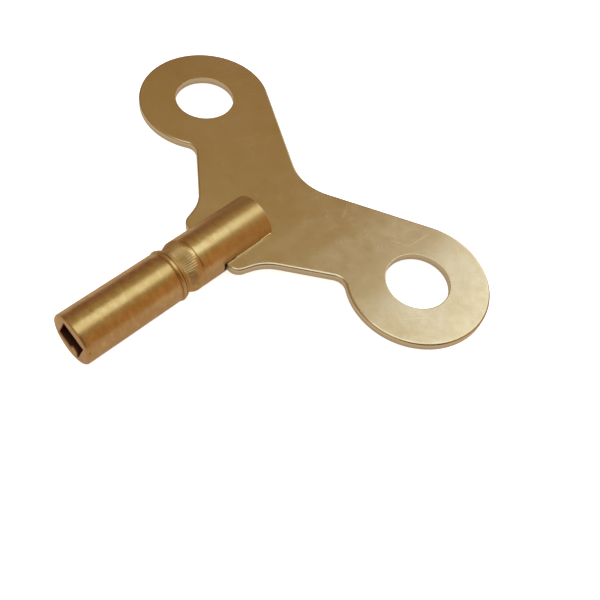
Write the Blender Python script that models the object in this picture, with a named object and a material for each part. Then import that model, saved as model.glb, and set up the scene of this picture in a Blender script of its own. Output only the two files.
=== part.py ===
"""Winged brass radiator bleed key: a turned socket barrel, a stamped sheet wing and their solder seam.

Row frame, in metres: the barrel's axis runs along Y with its socket mouth facing -Y, the wing lies level
across X, and +Z is up. The origin is under the middle of the key, level with the barrel's lowest point.
"""
import math

import bmesh
import bpy
from mathutils import Vector

MM = 0.001

# Spindle and socket
SPINDLE = 5.0 * MM                  # across the flats of a radiator's air-vent spindle
SOCKET = SPINDLE + 0.2 * MM         # across the flats of the broached square
SOCKET_DEPTH = 13.0 * MM
SOCKET_CLOCKING = math.radians(20)  # the square is turned this far from the wing's plane
PILOT_R = 2.5 * MM                  # drilled before broaching
PILOT_DEPTH = 16.0 * MM
DRILL_POINT = 1.5 * MM              # height of the cone that the drill leaves

# Barrel
FRONT_R = 4.72 * MM
REAR_R = 4.84 * MM
RING_R = 4.90 * MM
NECK_R = 4.26 * MM
BARREL_LENGTH = 39.7 * MM
FACE_BREAK = 0.42 * MM              # the turned edge at the mouth
END_BREAK = 0.30 * MM               # the turned edge at the rear
GROOVE_DEPTH = 0.28 * MM
GROOVE_WIDTH = 0.42 * MM
FRONT_GROOVE = 19.25 * MM           # stations along the axis, from the mouth
RING_END = 20.05 * MM
RING_LINE = 0.07 * MM               # depth of the fine line round the middle of the ring
NECK_START = 20.15 * MM
NECK_END = 22.85 * MM
REEDING_END = 23.70 * MM
REAR_GROOVE = 24.25 * MM
REEDS = 72
REED_DEPTH = 0.10 * MM
FACETS = REEDS                      # a plain loop has half the vertices of a reeded one

# Wing
SHEET = 1.6 * MM
HOLE_PITCH = 57.4 * MM
HOLE_R = 5.75 * MM
LOBE_R = 13.0 * MM
FLANK_ANGLE = math.radians(28.5)    # the straight far edge, from the valley out to a lobe
VALLEY_R = 9.4 * MM
SHOULDER_ANGLE = math.radians(38)   # the straight near edge, from a lobe in to the ear
NOTCH_R = 2.4 * MM                  # between a lobe and the shoulder
EAR_ANGLE = math.radians(72)        # the ear's flank, beside the barrel
EAR_CORNER = Vector((8.75, -18.35)) * MM
EAR_BEND_R = 8.0 * MM
EAR_TIP_R = 2.2 * MM
EDGE_ROUND = 0.14 * MM
MOUTH_TO_HOLES = 52.4 * MM
TONGUE_FRONT = -23.7 * MM           # from the line through the holes' centres

# Joint
SLOT_GAP = 0.20 * MM                # each side of the sheet, filled by solder
SOLDER = 0.10 * MM
CLEAR = 0.05 * MM
SEAM_INSET = 0.25 * MM              # the solder stops this far inside the barrel's surface
BEAD_LENGTH = 7.2 * MM              # the fillet that shows, from the barrel's rear end

OVERALL = MOUTH_TO_HOLES + LOBE_R
MOUTH_Y = -OVERALL / 2
HOLES_Y = MOUTH_Y + MOUTH_TO_HOLES
AXIS_Z = RING_R


def clear_scene():
    for thing in list(bpy.data.objects):
        bpy.data.objects.remove(thing, do_unlink=True)


def brass(name, colour, roughness):
    material = bpy.data.materials.new(name)
    material.use_nodes = True
    shader = material.node_tree.nodes["Principled BSDF"]
    shader.inputs["Base Color"].default_value = (*colour, 1.0)
    shader.inputs["Metallic"].default_value = 1.0
    shader.inputs["Roughness"].default_value = roughness
    return material


def add_object(name, bm, parent, material=None):
    """Makes a mesh object from bm, with its faces pointing out."""
    bmesh.ops.recalc_face_normals(bm, faces=bm.faces)
    mesh = bpy.data.meshes.new(name)
    bm.to_mesh(mesh)
    bm.free()
    thing = bpy.data.objects.new(name, mesh)
    bpy.context.scene.collection.objects.link(thing)
    thing.parent = parent
    if material:
        mesh.materials.append(material)
    return thing


def shade(thing, angle=35):
    thing.data.shade_smooth()
    thing.data.set_sharp_from_angle(angle=math.radians(angle))


def boolean(thing, cutter, operation="DIFFERENCE"):
    cutter.hide_render = True
    cutter.display_type = "WIRE"
    modifier = thing.modifiers.new(operation.lower() + "_" + cutter.name, "BOOLEAN")
    modifier.operation = operation
    modifier.solver = "EXACT"
    modifier.object = cutter


def arc(centre, radius, start, end, steps):
    """Points on an arc, from one angle to another, both in radians."""
    turn = (end - start) / steps
    return [centre + radius * Vector((math.cos(start + turn * i), math.sin(start + turn * i)))
            for i in range(steps + 1)]


# ---------------------------------------------------------------- barrel

def neck_radius(station):
    """The waist between the ring and the rear land: a shallow cosine cove."""
    middle = (NECK_START + NECK_END) / 2
    reach = (NECK_END - NECK_START) / 2
    rise = 0.5 - 0.5 * math.cos(math.pi * (station - middle) / reach)
    brim = FRONT_R if station < middle else REAR_R
    return NECK_R + (brim - NECK_R) * rise


def groove(station, radius_before, radius_after):
    """A V groove in a turned profile, as (station, radius) points."""
    bottom = min(radius_before, radius_after) - GROOVE_DEPTH
    return [(station - GROOVE_WIDTH / 2, radius_before), (station, bottom),
            (station + GROOVE_WIDTH / 2, radius_after)]


def barrel_profile():
    """The barrel's outside from mouth to rear, as (station, radius, is it reeded)."""
    ring_start = FRONT_GROOVE + GROOVE_WIDTH / 2
    front = [(0, FRONT_R - FACE_BREAK), (0.3 * FACE_BREAK, FRONT_R - 0.3 * FACE_BREAK)]
    front += [(FACE_BREAK, FRONT_R)]
    front += groove(FRONT_GROOVE, FRONT_R, RING_R)
    front += [((ring_start + RING_END) / 2, RING_R - RING_LINE), (RING_END, RING_R)]

    neck_steps = 6
    neck = [NECK_START + (NECK_END - NECK_START) * i / neck_steps for i in range(neck_steps + 1)]
    reeded = [(station, neck_radius(station)) for station in neck] + [(REEDING_END, REAR_R)]

    rear = groove(REAR_GROOVE, REAR_R, REAR_R)
    rear += [(BARREL_LENGTH - END_BREAK, REAR_R)]
    rear += [(BARREL_LENGTH - 0.3 * END_BREAK, REAR_R - 0.3 * END_BREAK)]
    rear += [(BARREL_LENGTH, REAR_R - END_BREAK)]
    plain_front = [(s, r, False) for s, r in front]
    plain_rear = [(s, r, False) for s, r in rear]
    return plain_front + [(s, r, True) for s, r in reeded] + plain_rear


def ring_of(bm, station, radius, reeded):
    """One loop round the axis. A reeded loop has a crest and a hollow for each reed."""
    count = 2 * REEDS if reeded else FACETS
    loop = []
    for i in range(count):
        r = radius - REED_DEPTH * (i % 2) if reeded else radius
        angle = 2 * math.pi * i / count
        loop.append(bm.verts.new((r * math.cos(angle), r * math.sin(angle), station)))
    return loop


def join_loops(bm, first, second):
    """Faces between two loops, where one may have twice the vertices of the other."""
    if len(first) == len(second):
        for i, a in enumerate(first):
            j = (i + 1) % len(first)
            bm.faces.new((a, first[j], second[j], second[i]))
        return
    coarse, fine = sorted((first, second), key=len)
    for i, a in enumerate(coarse):
        b = coarse[(i + 1) % len(coarse)]
        before, middle, after = fine[2 * i], fine[2 * i + 1], fine[(2 * i + 2) % len(fine)]
        bm.faces.new((a, middle, before))
        bm.faces.new((a, b, middle))
        bm.faces.new((b, after, middle))


def make_barrel(parent, material):
    bm = bmesh.new()
    loops = [ring_of(bm, *point) for point in barrel_profile()]
    for first, second in zip(loops, loops[1:]):
        join_loops(bm, first, second)
    bm.faces.new(loops[0])
    bm.faces.new(loops[-1])
    barrel = add_object("barrel", bm, parent, material)
    shade(barrel)
    barrel.location = (0, MOUTH_Y, 0)
    barrel.rotation_euler = (math.radians(-90), 0, 0)

    square = bmesh.new()
    bmesh.ops.create_cube(square, size=1)
    bmesh.ops.scale(square, vec=(SOCKET, SOCKET, 2 * SOCKET_DEPTH), verts=square.verts)
    broach = add_object("broach", square, barrel)
    broach.rotation_euler = (0, 0, SOCKET_CLOCKING)
    boolean(barrel, broach)

    drill = add_object("pilot_drill", drill_shape(), barrel)
    boolean(barrel, drill)

    saw = bmesh.new()
    bmesh.ops.create_cube(saw, size=1)
    floor = slot_floor() - MOUTH_Y
    past = BARREL_LENGTH + 1 * MM
    bmesh.ops.scale(saw, vec=(3 * REAR_R, SHEET + 2 * SLOT_GAP, past - floor), verts=saw.verts)
    slot = add_object("slot_saw", saw, barrel)
    slot.location = (0, 0, (floor + past) / 2)
    boolean(barrel, slot)
    return barrel


def drill_shape():
    """The pilot hole with its drill point, turned about Z."""
    profile = [(0, -1 * MM), (PILOT_R, -1 * MM), (PILOT_R, PILOT_DEPTH), (0, PILOT_DEPTH + DRILL_POINT)]
    bm = bmesh.new()
    line = [bm.verts.new((r, 0, z)) for r, z in profile]
    edges = [bm.edges.new(pair) for pair in zip(line, line[1:])]
    bmesh.ops.spin(bm, geom=line + edges, axis=(0, 0, 1), cent=(0, 0, 0), angle=2 * math.pi,
                   steps=48, use_merge=True)
    bmesh.ops.remove_doubles(bm, verts=bm.verts, dist=0.001 * MM)
    return bm


def slot_floor():
    """World Y of the sawn slot's floor: the tongue's front edge, less the solder and its gaps."""
    return HOLES_Y + TONGUE_FRONT - SLOT_GAP


# ---------------------------------------------------------------- wing

def direction(angle):
    return Vector((math.cos(angle), math.sin(angle)))


def fillet_at(corner, into, out, radius, steps):
    """The arc that rounds a corner between two straight edges, given by their unit directions."""
    turn = into.angle_signed(out)          # positive is clockwise in Blender's 2D vectors
    side = Vector((into.y, -into.x)) if turn > 0 else Vector((-into.y, into.x))
    start = corner - into * radius * math.tan(abs(turn) / 2)
    centre = start + side * radius
    begin = math.atan2(-side.y, -side.x)
    return arc(centre, radius, begin, begin - turn, steps)


def notch_centre(lobe, shoulder_point, outward, along):
    """Centre of the fillet that touches both the lobe's circle and the shoulder's straight edge."""
    base = shoulder_point + outward * NOTCH_R - lobe
    half = base.dot(along)
    away = half * half - base.length_squared + (LOBE_R + NOTCH_R) ** 2
    return lobe + base + along * (-half - math.sqrt(away))


def half_outline():
    """The wing's right half from the valley round to the tongue, clockwise, about the holes' middle."""
    lobe = Vector((HOLE_PITCH / 2, 0))
    flank_normal = direction(FLANK_ANGLE + math.pi / 2)
    reach = flank_normal.dot(lobe) + LOBE_R
    valley = Vector((0, (reach + VALLEY_R) / math.cos(FLANK_ANGLE)))
    down = -math.pi / 2
    points = arc(valley, VALLEY_R, down, down + FLANK_ANGLE, 6)

    along = direction(SHOULDER_ANGLE)
    outward = direction(SHOULDER_ANGLE + down)
    notch = notch_centre(lobe, EAR_CORNER, outward, along)
    lobe_end = (notch - lobe).angle_signed(Vector((1, 0)))
    points += arc(lobe, LOBE_R, FLANK_ANGLE + math.pi / 2, lobe_end, 40)
    points += arc(notch, NOTCH_R, lobe_end + math.pi, SHOULDER_ANGLE + math.pi / 2, 8)

    ear = direction(EAR_ANGLE)
    points += fillet_at(EAR_CORNER, -along, -ear, EAR_BEND_R, 6)
    drop = (EAR_CORNER.y - TONGUE_FRONT) / ear.y
    tip = EAR_CORNER - ear * drop
    points += fillet_at(tip, -ear, Vector((-1, 0)), EAR_TIP_R, 8)
    return points


def wing_outline():
    right = half_outline()
    left = [Vector((-p.x, p.y)) for p in reversed(right)]
    return right + left[:-1]


def inset(loop, distance):
    """A closed clockwise outline moved inwards, towards the sheet."""
    moved = []
    for i, point in enumerate(loop):
        before = loop[i - 1]
        after = loop[(i + 1) % len(loop)]
        normal = ((point - before).normalized() + (after - point).normalized()).normalized()
        moved.append(point + Vector((normal.y, -normal.x)) * distance)
    return moved


def sheet_wall(bm, outline):
    """The edge of the sheet along one outline, rounded top and bottom. Returns its two end loops."""
    half = SHEET / 2
    slack = EDGE_ROUND * (1 - math.sqrt(0.5))
    levels = [(EDGE_ROUND, half), (slack, half - slack), (0, half - EDGE_ROUND)]
    levels += [(d, -z) for d, z in reversed(levels)]
    rows = [[bm.verts.new((p.x, p.y, z)) for p in inset(outline, d)] for d, z in levels]
    for upper, lower in zip(rows, rows[1:]):
        join_loops(bm, upper, lower)
    return rows[0], rows[-1]


def make_wing(parent, material):
    outlines = [wing_outline()]
    for side in (-1, 1):
        hole = arc(Vector((side * HOLE_PITCH / 2, 0)), HOLE_R, 0, 2 * math.pi, 56)
        outlines.append(hole[:-1])
    bm = bmesh.new()
    ends = [sheet_wall(bm, outline) for outline in outlines]
    for level in range(2):
        rims = []
        for pair in ends:
            loop = pair[level]
            rims += [bm.edges.get((a, b)) for a, b in zip(loop, loop[1:] + loop[:1])]
        bmesh.ops.triangle_fill(bm, edges=rims, use_beauty=True)
    wing = add_object("wing", bm, parent, material)
    shade(wing)
    wing.location = (0, HOLES_Y, 0)
    return wing


# ---------------------------------------------------------------- solder seam

def film():
    """The solder round the tongue: a U seen from the side, as wide as the slot but for a small inset."""
    inner = SHEET / 2 + CLEAR
    outer = inner + SOLDER
    front = HOLES_Y + TONGUE_FRONT - CLEAR
    back = MOUTH_Y + BARREL_LENGTH - SEAM_INSET
    width = math.sqrt(REAR_R ** 2 - outer ** 2) - SEAM_INSET
    section = [(front - SOLDER, -outer), (back, -outer), (back, -inner), (front, -inner)]
    section += [(y, -z) for y, z in reversed(section)]
    bm = bmesh.new()
    side = bm.faces.new([bm.verts.new((-width, y, z)) for y, z in section])
    grown = bmesh.ops.extrude_face_region(bm, geom=[side])["geom"]
    moved = [v for v in grown if isinstance(v, bmesh.types.BMVert)]
    bmesh.ops.translate(bm, vec=(2 * width, 0, 0), verts=moved)
    return bm


def bead_section(swell):
    """The fillet across the joint, in (x, z) from the barrel's axis; swell 0 keeps it in the slot."""
    inner = SHEET / 2 + CLEAR
    outer = inner + SOLDER
    skin = REAR_R + CLEAR
    edge = math.sqrt(skin ** 2 - outer ** 2)
    root = edge - 2 * SEAM_INSET
    toe = edge + 0.40 * MM * swell
    rise = outer + 0.28 * MM * swell
    crest = math.sqrt(skin ** 2 - rise ** 2) + 0.02 * MM
    waist = (toe * 0.35 + crest * 0.65, inner * 0.55 + rise * 0.45)
    return [(root, inner), (toe, inner), waist, (crest + 0.04 * MM, rise), (edge, outer), (root, outer)]


def bead(bm, side, face):
    """One fillet run, tapering into the slot at its front end. side and face are each 1 or -1."""
    rear = MOUTH_Y + BARREL_LENGTH - SEAM_INSET
    runs = [(BEAD_LENGTH, 0.12), (BEAD_LENGTH * 0.8, 0.8), (BEAD_LENGTH * 0.5, 1), (0, 0.9)]
    rows = [[bm.verts.new((side * x, rear - back, face * z)) for x, z in bead_section(swell)]
            for back, swell in runs]
    for first, second in zip(rows, rows[1:]):
        join_loops(bm, first, second)
    bm.faces.new(rows[0])
    bm.faces.new(rows[-1])


def make_seam(parent, material):
    seam = add_object("solder_seam", film(), parent, material)
    for side, face in ((-1, -1), (-1, 1), (1, -1), (1, 1)):
        bm = bmesh.new()
        bead(bm, side, face)
        boolean(seam, add_object(f"bead_{side + 1}{face + 1}", bm, parent), "UNION")
    shade(seam)
    return seam


def main():
    clear_scene()
    axis = bpy.data.objects.new("barrel_axis", None)
    bpy.context.scene.collection.objects.link(axis)
    axis.location = (0, 0, AXIS_Z)
    make_barrel(axis, brass("turned_brass", (0.60, 0.40, 0.17), 0.30))
    make_wing(axis, brass("sheet_brass", (0.62, 0.46, 0.25), 0.42))
    make_seam(axis, brass("solder", (0.66, 0.56, 0.38), 0.38))


main()
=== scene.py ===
"""Looks of the winged brass radiator bleed key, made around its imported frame.

All of it is in metres and in the frame's own axes: the barrel lies along Y with its socket mouth facing -Y,
the wing is level across X, and +Z is up.
"""

import math

import bmesh
import bpy
from mathutils import Matrix, Vector, noise


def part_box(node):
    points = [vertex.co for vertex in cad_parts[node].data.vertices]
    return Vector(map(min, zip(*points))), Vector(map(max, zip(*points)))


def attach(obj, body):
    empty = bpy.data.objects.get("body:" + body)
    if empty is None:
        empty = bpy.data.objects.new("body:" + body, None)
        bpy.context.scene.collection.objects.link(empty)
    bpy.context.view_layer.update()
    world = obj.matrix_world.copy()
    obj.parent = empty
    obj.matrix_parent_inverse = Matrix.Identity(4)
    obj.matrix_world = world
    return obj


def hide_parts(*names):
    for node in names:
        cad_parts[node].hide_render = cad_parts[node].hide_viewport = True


MM = 0.001

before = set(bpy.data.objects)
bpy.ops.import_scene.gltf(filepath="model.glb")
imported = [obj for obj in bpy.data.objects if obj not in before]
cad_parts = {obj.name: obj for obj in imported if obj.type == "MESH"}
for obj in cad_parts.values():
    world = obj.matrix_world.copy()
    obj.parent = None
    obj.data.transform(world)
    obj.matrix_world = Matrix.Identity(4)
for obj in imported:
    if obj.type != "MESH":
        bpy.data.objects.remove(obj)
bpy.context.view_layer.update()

# Places that the frame gives
BARREL_LOW, BARREL_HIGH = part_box("barrel")
WING_LOW, WING_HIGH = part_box("wing")
MOUTH_Y = BARREL_LOW.y
BARREL_LENGTH = BARREL_HIGH.y - BARREL_LOW.y
AXIS_Z = (BARREL_LOW.z + BARREL_HIGH.z) / 2
RING_R = (BARREL_HIGH.z - BARREL_LOW.z) / 2
SHEET = WING_HIGH.z - WING_LOW.z
WING_Z = (WING_HIGH.z + WING_LOW.z) / 2

# Socket
SOCKET = 5.2 * MM                   # across the flats of the broached square
SOCKET_DEPTH = 13.0 * MM
SOCKET_CLOCKING = math.radians(20)
SOCKET_CORNER_R = 0.22 * MM
SOCKET_LEAD = 0.13 * MM             # the worn chamfer at the socket's mouth
PILOT_R = 2.5 * MM
PILOT_DEPTH = 16.0 * MM
DRILL_POINT = 1.5 * MM

# Barrel, with stations measured along the axis from the mouth
FRONT_R = 4.72 * MM
REAR_R = 4.84 * MM
NECK_R = 4.26 * MM
FACE_BREAK = 0.42 * MM              # the turned edge at the mouth
END_BREAK = 0.30 * MM               # the turned edge at the rear
FRONT_GROOVE = 19.28 * MM
RING_START = 19.44 * MM
RING_END = 20.00 * MM
RING_EDGE = 0.10 * MM               # how far the ring's edges lie under its crest
BEHIND_RING = 20.11 * MM
NECK_START = 20.22 * MM
WAIST = 21.05 * MM                  # where the neck is narrowest
NECK_END = 22.85 * MM
REEDING_END = 23.70 * MM
REAR_GROOVE = 24.12 * MM
REEDS = 72
REED_DEPTH = 0.064 * MM
STEPS_PER_REED = 10

# Wing, about the middle of the line through its holes
LOBE_R = 13.0 * MM
HOLE_R = 5.75 * MM
HOLES_Y = WING_HIGH.y - LOBE_R
HOLE_PITCH = WING_HIGH.x - WING_LOW.x - 2 * LOBE_R
FLANK_ANGLE = math.radians(28.5)
VALLEY_R = 9.4 * MM
SHOULDER_ANGLE = math.radians(38)
NOTCH_R = 2.4 * MM
EAR_ANGLE = math.radians(72)
EAR_CORNER = Vector((8.75, -18.35)) * MM
EAR_BEND_R = 8.0 * MM
EAR_TIP_R = 2.2 * MM
TONGUE_FRONT = WING_LOW.y - HOLES_Y
DIE_ROLL = 0.36 * MM                # the rounded top edge of the blanked outline
HOLE_BREAK = 0.07 * MM              # and of the drilled holes
BURR = 0.07 * MM                    # the small break on the die's side
FLAT_RIM = 0.15 * MM                # a flat strip inside the edges, which keeps their rounding local
BREAK_TOP = 0.45                    # where the sheared land ends and the torn break begins, as shares
BREAK_BOTTOM = 0.55                 # of the sheet's thickness from its top
BREAK_STEP = 0.035 * MM             # how far the break lies inside the land, at its top
BREAK_INSET = 0.045 * MM            # and at its foot
# Scratches on the wing's top: x, y and length in mm about the holes' middle, and turn in degrees
SCRATCHES = ((22.9, 7.2, 5.4, 84), (21.0, 3.7, 4.0, 30), (9.5, 1.5, 6.5, 118), (33.5, -6.5, 5.0, 55),
             (-15.5, -1.0, 7.5, 70), (-33.0, 8.0, 4.5, 20))
SLOT_TOP_GAP = 0.22 * MM            # over the tongue, which lies on the slot's lower face
SLOT_LOW_GAP = 0.08 * MM
SLOT_END_GAP = 0.45 * MM            # in front of the tongue

# Solder
FILLET_REAR = 0.45 * MM             # how far the fillets stop inside the barrel's rear end
FILM_REAR = 0.10 * MM               # and the solder in the slot
FILM_INSET = 1.3 * MM               # how far that solder stops inside the barrel's skin
FULL_FILLETS = {(1, 1): 3.2 * MM, (1, -1): 5.0 * MM,      # lengths by side and by face of the sheet
                (-1, 1): 4.1 * MM, (-1, -1): 3.6 * MM}

# Colours
BAR_CLEAN = (0.755, 0.615, 0.32)
BAR_TARNISHED = (0.64, 0.475, 0.21)
BAR_TOOL_LINES = (0.60, 0.43, 0.17)
BAR_HEATED = (0.60, 0.44, 0.18)
PIT_DARK = (0.16, 0.09, 0.05)
# painted shade: the colour that darkens the socket's inside in place of the shadow there
SOCKET_PAINTED_SHADE = (0.34, 0.14, 0.09)
SHEET_CLEAN = (0.79, 0.72, 0.545)
SHEET_TARNISHED = (0.72, 0.62, 0.40)
SCRATCH_BRIGHT = (0.95, 0.90, 0.74)
EDGE_SHEARED = (0.85, 0.85, 0.60)
EDGE_TORN = (0.62, 0.60, 0.44)
SOLDER_PALE = (0.92, 0.77, 0.47)
SOLDER_DARK = (0.76, 0.60, 0.34)
FLOOR_SEEN = (0.95, 0.95, 0.95)
FLOOR_MIRRORED = (0.12, 0.085, 0.07)
FLOOR_GLOW_SEEN = (0.68, 0.68, 0.67)
FLOOR_GLOW_MIRRORED = (0.40, 0.285, 0.22)
ROOM_SEEN = (1.0, 1.0, 1.0)
ROOM_LEFT = (0.22, 0.10, 0.06)
ROOM_RIGHT = (0.44, 0.205, 0.062)
ROOM_HIGH = (0.36, 0.225, 0.066)
ROOM_BY_CAMERA = (0.09, 0.035, 0.025)
LAMP = (0.82, 0.96, 1.06)

# Camera, which looks down on the key from its right front, from close by
CAMERA_AZIMUTH = math.radians(36.56)
CAMERA_ELEVATION = math.radians(49.94)
CAMERA_ROLL = math.radians(11.7)
CAMERA_DISTANCE = 165.6 * MM
CAMERA_TARGET = Vector((3.72 * MM, HOLES_Y - 4.67 * MM, WING_Z))
CAMERA_LENS = 53.894                # in mm, on a 36 mm sensor
CAMERA_SHIFT = -0.15


# ---------------------------------------------------------------- meshes

def piece(name, bm, slot_name, material, *nodes):
    """Makes a shown piece from bm, which stands for the given CAD nodes and rides on the key."""
    bmesh.ops.recalc_face_normals(bm, faces=bm.faces)
    mesh = bpy.data.meshes.new(name)
    bm.to_mesh(mesh)
    bm.free()
    made = bpy.data.objects.new(name, mesh)
    bpy.context.scene.collection.objects.link(made)
    mesh.materials.append(material)
    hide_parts(*nodes)
    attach(made, "root")
    return made


def shade(thing, angle):
    """Smooth shading, with creases kept where faces meet at more than angle, in degrees."""
    thing.data.shade_smooth()
    thing.data.set_sharp_from_angle(angle=math.radians(angle))


def cut(thing, bm):
    """Takes the closed shape in bm out of thing, for good."""
    bmesh.ops.recalc_face_normals(bm, faces=bm.faces)
    mesh = bpy.data.meshes.new("cutter")
    bm.to_mesh(mesh)
    bm.free()
    cutter = bpy.data.objects.new("cutter", mesh)
    bpy.context.scene.collection.objects.link(cutter)
    modifier = thing.modifiers.new("cut", "BOOLEAN")
    modifier.operation = "DIFFERENCE"
    modifier.solver = "EXACT"
    modifier.object = cutter
    bpy.context.view_layer.update()
    evaluated = thing.evaluated_get(bpy.context.evaluated_depsgraph_get())
    result = bpy.data.meshes.new_from_object(evaluated)
    thing.modifiers.remove(modifier)
    thing.data = result
    bpy.data.objects.remove(cutter)


def bridge(bm, first, second):
    """A band of faces between two closed loops of as many vertices."""
    for i, a in enumerate(first):
        j = (i + 1) % len(first)
        bm.faces.new((a, first[j], second[j], second[i]))


def loft(bm, loops):
    """A closed skin through closed loops of points, capped at both ends."""
    rows = [[bm.verts.new(point) for point in loop] for loop in loops]
    for first, second in zip(rows, rows[1:]):
        bridge(bm, first, second)
    bm.faces.new(rows[0])
    bm.faces.new(rows[-1])


def arc(centre, radius, start, end, steps):
    """Points on an arc, from one angle to another, both in radians."""
    turn = (end - start) / steps
    return [centre + radius * Vector((math.cos(start + turn * i), math.sin(start + turn * i)))
            for i in range(steps + 1)]


def smooth(x):
    """0 below 0, 1 above 1 and an easy S between."""
    x = min(1.0, max(0.0, x))
    return x * x * (3 - 2 * x)


# ---------------------------------------------------------------- barrel

def cosine_groove(middle, width, depth, before, after, steps=12):
    """A turned groove with rounded lips, between two radii, as (station, radius) points."""
    points = []
    for i in range(steps + 1):
        u = -1 + 2 * i / steps
        land = before + (after - before) * smooth((u + 1) / 2)
        points.append((middle + u * width / 2, land - depth * (0.5 + 0.5 * math.cos(math.pi * u))))
    return points


def broken_edge(size, radius, end):
    """The rounded turned edge at an end of the barrel. end is 0 at the mouth, or the far end's station."""
    points = []
    for i in range(7):
        angle = math.pi / 2 * i / 6
        points.append((size - size * math.cos(angle), radius - size + size * math.sin(angle)))
    return [(end - s, r) for s, r in reversed(points)] if end else points


def ring_profile():
    """The bead that stands a little above the barrel in front of the neck."""
    steps = 14
    points = []
    for i in range(1, steps):
        u = i / steps
        fall = (1 - math.sin(math.pi * u)) ** 1.6
        points.append((RING_START + (RING_END - RING_START) * u, RING_R - RING_EDGE * fall))
    return points


def neck_radius(station):
    """The waisted neck, whose narrowest part, WAIST, is nearer to the ring than to the rear."""
    brim, edge = (FRONT_R, NECK_START) if station < WAIST else (REAR_R, NECK_END)
    rise = 0.5 - 0.5 * math.cos(math.pi * (station - WAIST) / (edge - WAIST))
    return NECK_R + (brim - NECK_R) * rise


def barrel_profile():
    """The barrel's outside from mouth to rear, as (station, radius)."""
    profile = broken_edge(FACE_BREAK, FRONT_R, 0)
    profile += [(FRONT_GROOVE * i / 12, FRONT_R) for i in range(1, 12)]
    profile += cosine_groove(FRONT_GROOVE, 0.32 * MM, 0.24 * MM, FRONT_R, RING_R - RING_EDGE)
    profile += ring_profile()
    profile += cosine_groove(BEHIND_RING, 0.26 * MM, 0.26 * MM, RING_R - RING_EDGE, FRONT_R)
    neck_steps = 26
    for i in range(1, neck_steps + 1):
        station = NECK_START + (NECK_END - NECK_START) * i / neck_steps
        profile.append((station, neck_radius(station)))
    profile += [(NECK_END + (REEDING_END - NECK_END) * i / 4, REAR_R) for i in range(1, 5)]
    profile += cosine_groove(REAR_GROOVE, 0.34 * MM, 0.13 * MM, REAR_R, REAR_R)
    rear = REAR_GROOVE + 0.5 * MM
    profile += [(rear + (BARREL_LENGTH - END_BREAK - rear) * i / 10, REAR_R) for i in range(10)]
    profile += broken_edge(END_BREAK, REAR_R, BARREL_LENGTH)
    return profile


def reed_depth(station, angle):
    """How far the surface lies under the reeds' crests, which run out at both ends of the neck."""
    start = smooth((station - NECK_START) / (0.25 * MM))
    end = smooth((REEDING_END - station) / (0.55 * MM))
    phase = 0.5 + 0.5 * math.cos(REEDS * angle)
    crest = noise.noise(Vector((math.cos(angle) * 9, math.sin(angle) * 9, station / MM)))
    return REED_DEPTH * start * end * phase * (1 + 0.35 * crest)


def barrel_loop(station, radius):
    """The barrel's skin at one station, reeded where it crosses the neck."""
    count = REEDS * STEPS_PER_REED
    loop = []
    for i in range(count):
        angle = 2 * math.pi * i / count
        r = radius - reed_depth(station, angle)
        loop.append((r * math.cos(angle), MOUTH_Y + station, AXIS_Z + r * math.sin(angle)))
    return loop


def square_loop(half, station, ragged=0.0):
    """A square with rounded corners across the barrel's axis, with a few points along each side."""
    side_steps = 7
    inner = half - SOCKET_CORNER_R
    loop = []
    for quarter in range(4):
        begin = quarter * math.pi / 2
        centre = inner * math.sqrt(2) * direction(begin + math.pi / 4)
        corner = arc(centre, SOCKET_CORNER_R, begin, begin + math.pi / 2, 4)
        along = direction(begin + math.pi)
        loop += corner
        loop += [corner[-1] + along * 2 * inner * i / side_steps for i in range(1, side_steps)]
    points = []
    for p in loop:
        angle = math.atan2(p.y, p.x) + SOCKET_CLOCKING
        r = p.length + ragged * noise.noise(Vector((p.x, p.y, station)) / (0.6 * MM))
        points.append((r * math.cos(angle), MOUTH_Y + station, AXIS_Z - r * math.sin(angle)))
    return points


def round_loop(template, radius, station):
    """A circle whose points lie at the same angles as the template's."""
    points = []
    for x, y, z in template:
        angle = math.atan2(z - AXIS_Z, x)
        points.append((radius * math.cos(angle), MOUTH_Y + station, AXIS_Z + radius * math.sin(angle)))
    return points


def socket_and_slot():
    """What is cut out of the barrel: the broached socket over its pilot hole, and the wing's slot."""
    half = SOCKET / 2
    square = square_loop(half, SOCKET_DEPTH)
    bm = bmesh.new()
    loft(bm, [square_loop(half + SOCKET_LEAD, -1 * MM), square_loop(half + SOCKET_LEAD, 0, 0.10 * MM),
              square_loop(half, SOCKET_LEAD * 1.4, 0.03 * MM), square_loop(half, 0.8 * MM), square,
              round_loop(square, PILOT_R, SOCKET_DEPTH), round_loop(square, PILOT_R, PILOT_DEPTH),
              round_loop(square, 0.02 * MM, PILOT_DEPTH + DRILL_POINT)])
    floor = HOLES_Y + TONGUE_FRONT - SLOT_END_GAP
    past = MOUTH_Y + BARREL_LENGTH + 1 * MM
    low = -SHEET / 2 - SLOT_LOW_GAP
    high = SHEET / 2 + SLOT_TOP_GAP
    wide = 2 * REAR_R
    section = [(floor, low), (past, low), (past, high), (floor, high)]
    loft(bm, [[(x, y, WING_Z + z) for y, z in section] for x in (-wide, wide)])
    return bm


def make_barrel(material):
    """The turned bar, with its socket and slot cut out."""
    bm = bmesh.new()
    loft(bm, [barrel_loop(*point) for point in barrel_profile()])
    barrel = piece("turned_barrel", bm, "turned_brass", material, "barrel")
    cut(barrel, socket_and_slot())
    shade(barrel, 32)


# ---------------------------------------------------------------- wing

def direction(angle):
    """The unit vector at an angle from X."""
    return Vector((math.cos(angle), math.sin(angle)))


def fillet_at(corner, into, out, radius, steps):
    """The arc that rounds a corner between two straight edges, given by their unit directions."""
    turn = into.angle_signed(out)          # positive is clockwise in Blender's 2D vectors
    side = Vector((into.y, -into.x)) if turn > 0 else Vector((-into.y, into.x))
    start = corner - into * radius * math.tan(abs(turn) / 2)
    centre = start + side * radius
    begin = math.atan2(-side.y, -side.x)
    return arc(centre, radius, begin, begin - turn, steps)


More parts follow.
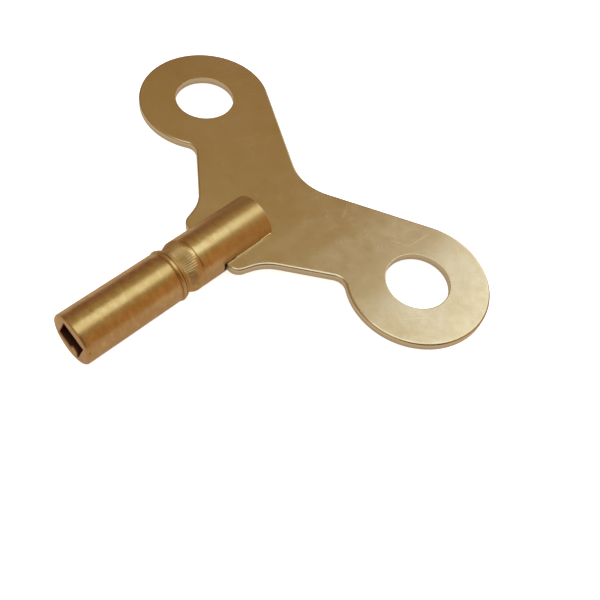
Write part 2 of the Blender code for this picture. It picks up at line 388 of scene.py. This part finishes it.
def notch_centre(lobe, shoulder_point, outward, along):
    """Centre of the fillet that touches both the lobe's circle and the shoulder's straight edge."""
    base = shoulder_point + outward * NOTCH_R - lobe
    half = base.dot(along)
    away = half * half - base.length_squared + (LOBE_R + NOTCH_R) ** 2
    return lobe + base + along * (-half - math.sqrt(away))


def half_outline():
    """The wing's right half from the valley round to the tongue, clockwise, about the holes' middle."""
    lobe = Vector((HOLE_PITCH / 2, 0))
    flank_normal = direction(FLANK_ANGLE + math.pi / 2)
    reach = flank_normal.dot(lobe) + LOBE_R
    valley = Vector((0, (reach + VALLEY_R) / math.cos(FLANK_ANGLE)))
    down = -math.pi / 2
    points = arc(valley, VALLEY_R, down, down + FLANK_ANGLE, 16)

    along = direction(SHOULDER_ANGLE)
    outward = direction(SHOULDER_ANGLE + down)
    notch = notch_centre(lobe, EAR_CORNER, outward, along)
    lobe_end = (notch - lobe).angle_signed(Vector((1, 0)))
    points += arc(lobe, LOBE_R, FLANK_ANGLE + math.pi / 2, lobe_end, 110)
    points += arc(notch, NOTCH_R, lobe_end + math.pi, SHOULDER_ANGLE + math.pi / 2, 20)

    ear = direction(EAR_ANGLE)
    points += fillet_at(EAR_CORNER, -along, -ear, EAR_BEND_R, 16)
    drop = (EAR_CORNER.y - TONGUE_FRONT) / ear.y
    tip = EAR_CORNER - ear * drop
    points += fillet_at(tip, -ear, Vector((-1, 0)), EAR_TIP_R, 18)
    return points


def wing_outline():
    """The whole wing, clockwise: its right half and the mirror of it."""
    right = half_outline()
    left = [Vector((-p.x, p.y)) for p in reversed(right)]
    return right + left[:-1]


def inset(loop, distance):
    """A closed clockwise outline moved inwards, towards the sheet."""
    moved = []
    for i, point in enumerate(loop):
        before = loop[i - 1]
        after = loop[(i + 1) % len(loop)]
        normal = ((point - before).normalized() + (after - point).normalized()).normalized()
        moved.append(point + Vector((normal.y, -normal.x)) * distance)
    return moved


def edge_levels(roll):
    """The sheared edge from top to bottom, as (inset, height): die roll, burnished land, break, burr.

    The first and last levels lie on the flat faces, and keep the rounding out of their shading.
    """
    half = SHEET / 2
    levels = [(roll + FLAT_RIM, half)]
    for i in range(5):
        angle = math.pi / 2 * i / 4
        levels.append((roll * (1 - math.sin(angle)), half - roll * (1 - math.cos(angle))))
    levels += [(0, half - BREAK_TOP * SHEET), (BREAK_STEP, half - BREAK_BOTTOM * SHEET)]
    levels += [(BREAK_INSET, BURR - half), (BREAK_INSET + BURR, -half)]
    levels.append((BREAK_INSET + BURR + FLAT_RIM, -half))
    return levels


def sheet_wall(bm, outline, roll):
    """The edge of the sheet along one outline. Returns its top and bottom loops."""
    rows = []
    for distance, height in edge_levels(roll):
        rows.append([bm.verts.new((p.x, p.y, height)) for p in inset(outline, distance)])
    for upper, lower in zip(rows, rows[1:]):
        bridge(bm, upper, lower)
    return rows[0], rows[-1]


def make_wing(material):
    """The stamped sheet with its two holes."""
    bm = bmesh.new()
    ends = [sheet_wall(bm, wing_outline(), DIE_ROLL)]
    for side in (-1, 1):
        hole = arc(Vector((side * HOLE_PITCH / 2, 0)), HOLE_R, 0, 2 * math.pi, 144)
        ends.append(sheet_wall(bm, hole[:-1], HOLE_BREAK))
    for level in range(2):
        rims = []
        for pair in ends:
            loop = pair[level]
            rims += [bm.edges.get((a, b)) for a, b in zip(loop, loop[1:] + loop[:1])]
        bmesh.ops.triangle_fill(bm, edges=rims, use_beauty=True)
    bmesh.ops.translate(bm, verts=bm.verts, vec=(0, HOLES_Y, WING_Z))
    wing = piece("stamped_wing", bm, "sheet_brass", material, "wing")
    shade(wing, 40)


# ---------------------------------------------------------------- solder

def bead_section(swell):
    """The solder between the barrel's skin and the sheet, in (x, z) from the barrel's axis."""
    sheet = SHEET / 2 - 0.02 * MM
    width = 0.12 * MM + 0.10 * MM * swell
    height = 0.08 * MM + 0.19 * MM * swell
    skin = REAR_R - 0.03 * MM
    corner = math.sqrt(skin ** 2 - sheet ** 2)
    crest = math.sqrt(skin ** 2 - (sheet + height) ** 2)
    inner = corner - 0.5 * MM
    points = [(inner, sheet)]
    for i in range(9):
        angle = math.pi / 2 * i / 8
        x = crest + (corner + width - crest) * math.cos(angle)
        points.append((x, sheet + height * math.sin(angle)))
    points.append((inner, sheet + height - 0.05 * MM))
    return points


def bead(bm, side, face, full, seed):
    """One run of solder along the joint: a fillet for its full part, and a thin trace on to the tip."""
    rear = MOUTH_Y + BARREL_LENGTH - FILLET_REAR
    length = rear - (HOLES_Y + TONGUE_FRONT) - EAR_TIP_R
    steps = 60
    loops = []
    for i in range(steps + 1):
        u = i / steps
        uneven = 1 + 0.35 * noise.noise(Vector((u * length / (1.4 * MM), seed, 0)))
        swell = smooth((full - u * length) / (1.6 * MM)) * uneven
        loops.append([(side * x, rear - u * length, WING_Z + face * z) for x, z in bead_section(swell)])
    loft(bm, loops)


def film(bm):
    """The solder between the tongue and the slot, a U seen from the side."""
    half = SHEET / 2
    front = HOLES_Y + TONGUE_FRONT
    floor = front - SLOT_END_GAP
    back = MOUTH_Y + BARREL_LENGTH - FILM_REAR
    width = REAR_R - FILM_INSET
    low = -half - SLOT_LOW_GAP
    high = half + SLOT_TOP_GAP
    section = [(floor, low), (back, low), (back, -half), (front, -half)]
    section += [(front, half), (back, half), (back, high), (floor, high)]
    loft(bm, [[(x, y, WING_Z + z) for y, z in section] for x in (-width, width)])


def make_seam(material):
    """All of the solder: the film in the slot, and four fillets that show."""
    bm = bmesh.new()
    film(bm)
    for number, ((side, face), full) in enumerate(FULL_FILLETS.items()):
        bead(bm, side, face, full, number * 7.3)
    seam = piece("solder_fillets", bm, "solder", material, "solder_seam")
    shade(seam, 50)


# ---------------------------------------------------------------- materials

def mix_colours(tree, share, first, second):
    """A blend of two colours, each of them plain or another node's output."""
    made = tree.nodes.new("ShaderNodeMix")
    made.data_type = "RGBA"
    if isinstance(share, bpy.types.NodeSocket):
        tree.links.new(share, made.inputs["Factor"])
    else:
        made.inputs["Factor"].default_value = share
    for socket, value in ((made.inputs[6], first), (made.inputs[7], second)):
        if isinstance(value, bpy.types.NodeSocket):
            tree.links.new(value, socket)
        else:
            socket.default_value = (*value, 1.0)
    return made.outputs[2]


class Recipe:
    """A material's node tree while it is being made."""

    def __init__(self, name):
        self.material = bpy.data.materials.new(name)
        self.material.use_nodes = True
        self.tree = self.material.node_tree
        self.shader = self.tree.nodes["Principled BSDF"]
        self.place = self.node("ShaderNodeTexCoord").outputs["Object"]

    def plug(self, value, socket):
        """Links another node's output to a socket, or sets it to a plain value."""
        if isinstance(value, bpy.types.NodeSocket):
            self.tree.links.new(value, socket)
        else:
            socket.default_value = value

    def node(self, kind, settings=(), **inputs):
        """A new node with the given settings, and with its named inputs plugged."""
        made = self.tree.nodes.new(kind)
        for key, value in dict(settings).items():
            setattr(made, key, value)
        for key, value in inputs.items():
            self.plug(value, made.inputs[key.replace("_", " ")])
        return made

    def math(self, operation, a, b=0.0):
        made = self.tree.nodes.new("ShaderNodeMath")
        made.operation = operation
        self.plug(a, made.inputs[0])
        self.plug(b, made.inputs[1])
        return made.outputs[0]

    def noise(self, per_metre, detail, roughness):
        """Noise with its own number of features to the metre along X, Y and Z."""
        placed = self.node("ShaderNodeMapping", Vector=self.place, Scale=per_metre)
        return self.node("ShaderNodeTexNoise", Vector=placed.outputs[0], Scale=1.0, Detail=detail,
                         Roughness=roughness).outputs["Fac"]

    def span(self, value, low, high, to_low=0.0, to_high=1.0):
        """Value stretched from one range to another, and held inside it."""
        made = self.node("ShaderNodeMapRange", Value=value)
        for key, number in zip(("From Min", "From Max", "To Min", "To Max"), (low, high, to_low, to_high)):
            made.inputs[key].default_value = number
        return made.outputs["Result"]

    def scale(self, value, factor):
        return self.math("MULTIPLY", value, factor)

    def mix(self, share, first, second):
        return mix_colours(self.tree, share, first, second)

    def bump(self, height, depth, normal=None):
        """Relief of a given depth, over another normal if there is one."""
        made = self.node("ShaderNodeBump", Height=height, Strength=1.0, Distance=depth)
        if normal:
            self.tree.links.new(normal, made.inputs["Normal"])
        return made.outputs["Normal"]

    def finish(self, colour, roughness, normal):
        """Makes the shader a metal with these looks, and gives the material."""
        self.shader.inputs["Metallic"].default_value = 1.0
        self.plug(colour, self.shader.inputs["Base Color"])
        self.plug(roughness, self.shader.inputs["Roughness"])
        self.plug(normal, self.shader.inputs["Normal"])
        return self.material


def scratch(recipe, x, y, length, angle):
    """A mask of one thin straight scratch on the wing, given by its middle and its turn in degrees."""
    local = recipe.node("ShaderNodeMapping", {"vector_type": "TEXTURE"}, Vector=recipe.place,
                        Location=(x * MM, HOLES_Y + y * MM, 0), Rotation=(0, 0, math.radians(angle)))
    parts = recipe.node("ShaderNodeSeparateXYZ", Vector=local.outputs[0])
    across = recipe.span(recipe.math("ABSOLUTE", parts.outputs["Y"]), 0.08 * MM, 0.03 * MM)
    along = recipe.span(recipe.math("ABSOLUTE", parts.outputs["X"]), length / 2 * MM, length / 3 * MM)
    return recipe.math("MULTIPLY", across, along)


def turned_brass():
    """Satin turned brass: feed and tool lines round the axis, tarnish, pits, a heated rear end, and painted
    shade inside the socket.
    """
    recipe = Recipe("turned_brass_satin")
    feed = recipe.noise((40, 5200, 40), 3.0, 0.6)
    tool = recipe.noise((90, 1500, 90), 2.0, 0.5)
    cloud = recipe.noise((170, 110, 170), 3.0, 0.55)
    rub = recipe.noise((700, 2600, 700), 3.0, 0.6)
    grain = recipe.noise((2300, 2300, 2300), 2.0, 0.6)
    pits = recipe.span(recipe.noise((420, 420, 420), 0.0, 0.4), 0.135, 0.115)
    pits = recipe.math("MAXIMUM", pits, pit(recipe, 38.0 * MM, math.radians(28.3), 0.14 * MM))
    blotch = recipe.noise((620, 900, 620), 3.0, 0.6)
    tarnish = recipe.span(recipe.math("ADD", cloud, blotch), 0.86, 1.14)
    heat = heat_stain(recipe)

    colour = recipe.mix(tarnish, BAR_CLEAN, BAR_TARNISHED)
    colour = recipe.mix(recipe.span(tool, 0.45, 0.75, 0.0, 0.25), colour, BAR_TOOL_LINES)
    colour = recipe.mix(recipe.scale(pits, 0.8), colour, PIT_DARK)
    colour = recipe.mix(recipe.scale(heat, 0.6), colour, BAR_HEATED)
    # painted shade: the socket's inside is darkened, standing in for the shadow deep in it
    colour = recipe.mix(painted_socket_shade(recipe, rub), colour, SOCKET_PAINTED_SHADE)

    rough = recipe.span(recipe.math("ADD", cloud, recipe.scale(feed, 0.5)), 0.5, 1.1, 0.25, 0.34)
    rough = recipe.math("ADD", rough, recipe.scale(heat, 0.09))

    normal = recipe.bump(recipe.math("ADD", feed, recipe.scale(tool, 0.8)), 0.006 * MM)
    normal = recipe.bump(rub, 0.034 * MM, normal)
    normal = recipe.bump(recipe.math("SUBTRACT", recipe.scale(grain, 0.6), pits), 0.008 * MM, normal)
    return recipe.finish(colour, rough, normal)


def painted_socket_shade(recipe, ragged):
    """A mask of painted shade inside the socket, which starts unevenly a little way in.

    It has no far end, so it also takes in the rear face and the slot, near the axis.
    """
    across = recipe.node("ShaderNodeMapping", Vector=recipe.place, Location=(0, 0, -AXIS_Z),
                         Scale=(1, 0, 1))
    from_axis = recipe.node("ShaderNodeVectorMath", {"operation": "LENGTH"}, Vector=across.outputs[0])
    along = recipe.node("ShaderNodeSeparateXYZ", Vector=recipe.place).outputs["Y"]
    along = recipe.math("ADD", along, recipe.scale(ragged, 0.15 * MM))
    near_axis = recipe.span(from_axis.outputs["Value"], SOCKET * 0.76, SOCKET * 0.72)
    depth = recipe.span(along, MOUTH_Y + 0.15 * MM, MOUTH_Y + 0.40 * MM)
    return recipe.math("MULTIPLY", near_axis, depth)


def heat_stain(recipe):
    """A mask of the browner end of the barrel, which the soldering heated."""
    along = recipe.node("ShaderNodeSeparateXYZ", Vector=recipe.place).outputs["Y"]
    return recipe.span(along, MOUTH_Y + 0.62 * BARREL_LENGTH, MOUTH_Y + 0.92 * BARREL_LENGTH)


def pit(recipe, station, angle, radius):
    """A mask of one small pit in the barrel's skin."""
    centre = (REAR_R * math.cos(angle), MOUTH_Y + station, AXIS_Z + REAR_R * math.sin(angle))
    moved = recipe.node("ShaderNodeVectorMath", {"operation": "SUBTRACT"}, Vector=recipe.place)
    moved.inputs[1].default_value = centre
    away = recipe.node("ShaderNodeVectorMath", {"operation": "LENGTH"}, Vector=moved.outputs[0])
    return recipe.span(away.outputs["Value"], radius * 1.2, radius * 0.8)


def all_scratches(recipe):
    """A mask of every scratch on the wing."""
    scratched = 0.0
    for place in SCRATCHES:
        scratched = recipe.math("MAXIMUM", scratched, scratch(recipe, *place))
    return scratched


def cut_edge(recipe):
    """A mask of the sheet's upright edges and the holes' walls."""
    facing = recipe.node("ShaderNodeTexCoord").outputs["Normal"]
    upright = recipe.node("ShaderNodeSeparateXYZ", Vector=facing).outputs["Z"]
    return recipe.span(recipe.math("ABSOLUTE", upright), 0.75, 0.45)


def lower_half(recipe):
    """A mask of the sheet's lower half, where its edges are torn and not sheared."""
    height = recipe.node("ShaderNodeSeparateXYZ", Vector=recipe.place).outputs["Z"]
    return recipe.span(height, WING_Z + 0.08 * SHEET, WING_Z - 0.02 * SHEET)


def sheet_brass():
    """Satin rolled brass sheet, mottled and scratched, with half sheared and half torn edges."""
    recipe = Recipe("sheet_brass_satin")
    cloud = recipe.noise((95, 95, 95), 4.0, 0.6)
    mottle = recipe.noise((480, 480, 480), 4.0, 0.62)
    grain = recipe.noise((2600, 1500, 2600), 3.0, 0.6)
    waves = recipe.noise((83, 83, 83), 1.0, 0.4)
    scratched = all_scratches(recipe)
    wall = cut_edge(recipe)
    fracture = recipe.math("MULTIPLY", wall, lower_half(recipe))
    rubble = recipe.math("MULTIPLY", recipe.noise((5200, 5200, 1700), 3.0, 0.6), fracture)
    tarnish = recipe.span(recipe.math("ADD", cloud, recipe.scale(mottle, 0.6)), 0.62, 0.98)

    colour = recipe.mix(tarnish, SHEET_CLEAN, SHEET_TARNISHED)
    colour = recipe.mix(recipe.scale(scratched, 0.45), colour, SCRATCH_BRIGHT)
    colour = recipe.mix(wall, colour, EDGE_SHEARED)
    colour = recipe.mix(recipe.scale(fracture, 0.5), colour, EDGE_TORN)

    rough = recipe.span(mottle, 0.35, 0.70, 0.21, 0.28)
    rough = recipe.math("ADD", rough, recipe.scale(fracture, 0.16))

    fine = recipe.math("ADD", recipe.scale(grain, 0.35), recipe.scale(mottle, 0.8))
    normal = recipe.bump(recipe.math("SUBTRACT", fine, recipe.scale(scratched, 0.4)), 0.006 * MM)
    normal = recipe.bump(rubble, 0.05 * MM, normal)
    normal = recipe.bump(waves, 0.17 * MM, normal)
    return recipe.finish(colour, rough, normal)


def solder():
    """Pale silver-solder with a fine grain."""
    recipe = Recipe("silver_solder")
    cloud = recipe.noise((500, 500, 500), 3.0, 0.55)
    grain = recipe.noise((4000, 4000, 4000), 2.0, 0.5)
    colour = recipe.mix(recipe.span(cloud, 0.35, 0.65), SOLDER_PALE, SOLDER_DARK)
    rough = recipe.span(grain, 0.3, 0.7, 0.20, 0.30)
    return recipe.finish(colour, rough, recipe.bump(grain, 0.006 * MM))


# ---------------------------------------------------------------- stage

def make_floor():
    """A pale round floor, with its edge too far out to see."""
    radius = 4.0
    mesh = bpy.data.meshes.new("floor")
    mesh.from_pydata([(radius * math.cos(a), radius * math.sin(a), 0)
                      for a in (2 * math.pi * i / 48 for i in range(48))], [], [list(range(48))])
    floor = bpy.data.objects.new("floor", mesh)
    bpy.context.scene.collection.objects.link(floor)
    mesh.materials.append(floor_material())


def floor_material():
    """A glowing floor: white to the camera, and dimmer and warmer to every other ray."""
    material = bpy.data.materials.new("pale_floor")
    material.use_nodes = True
    tree = material.node_tree
    shader = tree.nodes["Principled BSDF"]
    shader.inputs["Roughness"].default_value = 1.0
    shader.inputs["Specular IOR Level"].default_value = 0.0
    shader.inputs["Emission Strength"].default_value = 1.0
    seen = tree.nodes.new("ShaderNodeLightPath").outputs["Is Camera Ray"]
    skin = mix_colours(tree, seen, FLOOR_MIRRORED, FLOOR_SEEN)
    glow = mix_colours(tree, seen, FLOOR_GLOW_MIRRORED, FLOOR_GLOW_SEEN)
    tree.links.new(skin, shader.inputs["Base Color"])
    tree.links.new(glow, shader.inputs["Emission Color"])
    return material


def ramp(tree, value, low, high):
    """An easy rise from 0 at low to 1 at high."""
    made = tree.nodes.new("ShaderNodeMapRange")
    made.interpolation_type = "SMOOTHSTEP"
    tree.links.new(value, made.inputs["Value"])
    made.inputs["From Min"].default_value = low
    made.inputs["From Max"].default_value = high
    return made.outputs["Result"]


def mirrored_room(tree):
    """What the brass mirrors: a warm dim room, lighter to the right, and darkest by the camera."""
    toward = tree.nodes.new("ShaderNodeTexCoord").outputs["Generated"]
    parts = tree.nodes.new("ShaderNodeSeparateXYZ")
    tree.links.new(toward, parts.inputs[0])
    x, y, z = parts.outputs
    room = mix_colours(tree, ramp(tree, x, -0.9, 0.7), ROOM_LEFT, ROOM_RIGHT)
    room = mix_colours(tree, ramp(tree, z, 0.45, 0.8), room, ROOM_HIGH)
    by_camera = tree.nodes.new("ShaderNodeMath")
    by_camera.operation = "MULTIPLY"
    tree.links.new(ramp(tree, y, 0.14, -0.04), by_camera.inputs[0])
    tree.links.new(ramp(tree, x, 0.30, 0.60), by_camera.inputs[1])
    return mix_colours(tree, by_camera.outputs[0], room, ROOM_BY_CAMERA)


def make_world():
    """The room: white to the eye and for soft light, and warm and dim where the brass mirrors it."""
    world = bpy.data.worlds.new("studio")
    bpy.context.scene.world = world
    world.use_nodes = True
    tree = world.node_tree
    mirrored = tree.nodes.new("ShaderNodeLightPath").outputs["Is Glossy Ray"]
    lit = mix_colours(tree, mirrored, ROOM_SEEN, mirrored_room(tree))
    tree.links.new(lit, tree.nodes["Background"].inputs["Color"])


def soft_box(name, width, length, place, tilt):
    """An even panel of light that faces down, or forwards once it is tilted."""
    light = bpy.data.lights.new(name, "AREA")
    light.shape = "RECTANGLE"
    light.size = width
    light.size_y = length
    light.energy = math.pi * width * length
    light.color = LAMP
    box = bpy.data.objects.new(name, light)
    box.location = place
    box.rotation_euler = (tilt, 0, 0)
    box.visible_camera = False
    bpy.context.scene.collection.objects.link(box)


def make_lights():
    """A long soft box overhead, and another that carries it on down to the horizon behind the key."""
    soft_box("soft_box_overhead", 0.44, 1.20, (0.05, 0.10, 0.70), 0)
    soft_box("soft_box_behind", 0.50, 0.90, (-0.10, 0.95, 0.47), math.radians(-80))


def make_camera():
    """Looks down on the key at the photograph's angle, with the camera rolled a little."""
    level = math.cos(CAMERA_ELEVATION)
    back = Vector((math.sin(CAMERA_AZIMUTH) * level, -math.cos(CAMERA_AZIMUTH) * level,
                   math.sin(CAMERA_ELEVATION)))
    data = bpy.data.cameras.new("camera")
    data.lens = CAMERA_LENS
    data.sensor_width = 36
    data.shift_y = CAMERA_SHIFT
    data.clip_start = 5 * MM
    data.clip_end = 20
    camera = bpy.data.objects.new("camera", data)
    bpy.context.scene.collection.objects.link(camera)
    stand = Matrix.Translation(CAMERA_TARGET + back * CAMERA_DISTANCE)
    look = (-back).to_track_quat("-Z", "Y").to_matrix().to_4x4()
    camera.matrix_world = stand @ look @ Matrix.Rotation(CAMERA_ROLL, 4, "Z")
    bpy.context.scene.camera = camera


def main():
    make_barrel(turned_brass())
    make_wing(sheet_brass())
    make_seam(solder())
    make_floor()
    make_world()
    make_lights()
    make_camera()
    bpy.context.scene.view_settings.view_transform = "Standard"


main()
